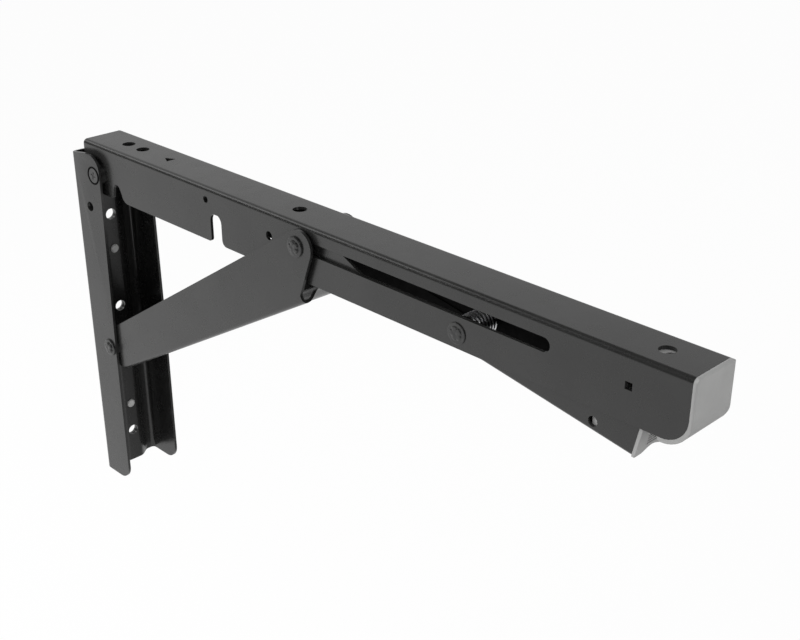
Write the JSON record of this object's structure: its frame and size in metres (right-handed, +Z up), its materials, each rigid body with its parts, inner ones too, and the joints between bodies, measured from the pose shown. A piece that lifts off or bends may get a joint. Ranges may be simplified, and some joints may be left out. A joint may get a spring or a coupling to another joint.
{
  "type": "folding shelf bracket",
  "caption": "Folding bracket that carries a shelf or table top on a hinged arm, braced by a sliding strut and freed by a sprung lever under the arm.",
  "frame": {"origin": "centre of the top wall screw hole, on the front face of the rail's raised rib; the wall is 5.9 mm behind it and the shelf's underside 47.2 mm above it", "axes": "+X out from the wall along the level arm, +Y along the wall, +Z up"},
  "size_m": [0.4, 0.0392, 0.2095],
  "materials": {
    "black_steel": "black powder-coated sheet steel, satin",
    "black_pin": "black-coated steel rivets, washers and pins, satin",
    "grey_plastic": "light grey moulded plastic, matt",
    "spring_steel": "bright drawn spring wire"
  },
  "bodies": {
    "rail": {"wall_rail": "black_steel", "rail_button_upper": "grey_plastic", "rail_button_lower": "grey_plastic", "arm_pivot_pin": "black_pin", "strut_pivot_pin": "black_pin"},
    "arm": {"arm_channel": "black_steel", "arm_spacer_near": "black_pin", "arm_spacer_far": "black_pin", "end_cap": "grey_plastic", "lever_pivot_pin": "black_pin", "lever_washer_near": "black_pin", "lever_washer_far": "black_pin", "spring_sleeve": "black_pin", "torsion_spring": "spring_steel"},
    "strut": {"strut_channel": "black_steel", "strut_rivet_near": "black_pin", "strut_rivet_far": "black_pin", "strut_washer_near": "black_pin", "strut_washer_far": "black_pin"},
    "slide_pin": {"slot_stud_near": "black_pin", "slot_stud_far": "black_pin"},
    "lever": {"release_lever": "black_steel", "lever_grip": "grey_plastic"}
  },
  "joints": [
    {"name": "arm_fold", "type": "hinge", "parent": "rail", "child": "arm", "pos_m": [0.0139, 0, 0.0303], "axis": [0, 1, 0], "range_deg": [0, 90]},
    {"name": "strut_swing", "type": "hinge", "parent": "rail", "child": "strut", "pos_m": [0.0139, 0, -0.0737], "axis": [0, 1, 0], "range_deg": [0, 121.68]},
    {"name": "pin_slide", "type": "slide", "parent": "arm", "child": "slide_pin", "axis": [1, 0, 0], "range_m": [0, 0.13733]},
    {"name": "lever_press", "type": "hinge", "parent": "arm", "child": "lever", "pos_m": [0.2802, 0, 0.026], "axis": [0, -1, 0], "range_deg": [0, 8], "stiffness_Nm_per_rad": 0.3, "springref_deg": -20.05, "deforming": ["torsion_spring"]}
  ],
  "couplings": [
    {"joint": "strut_swing", "follows": "arm_fold", "ratio": 1.3498},
    {"joint": "pin_slide", "follows": "arm_fold", "m_per_rad": 0.087236}
  ]
}
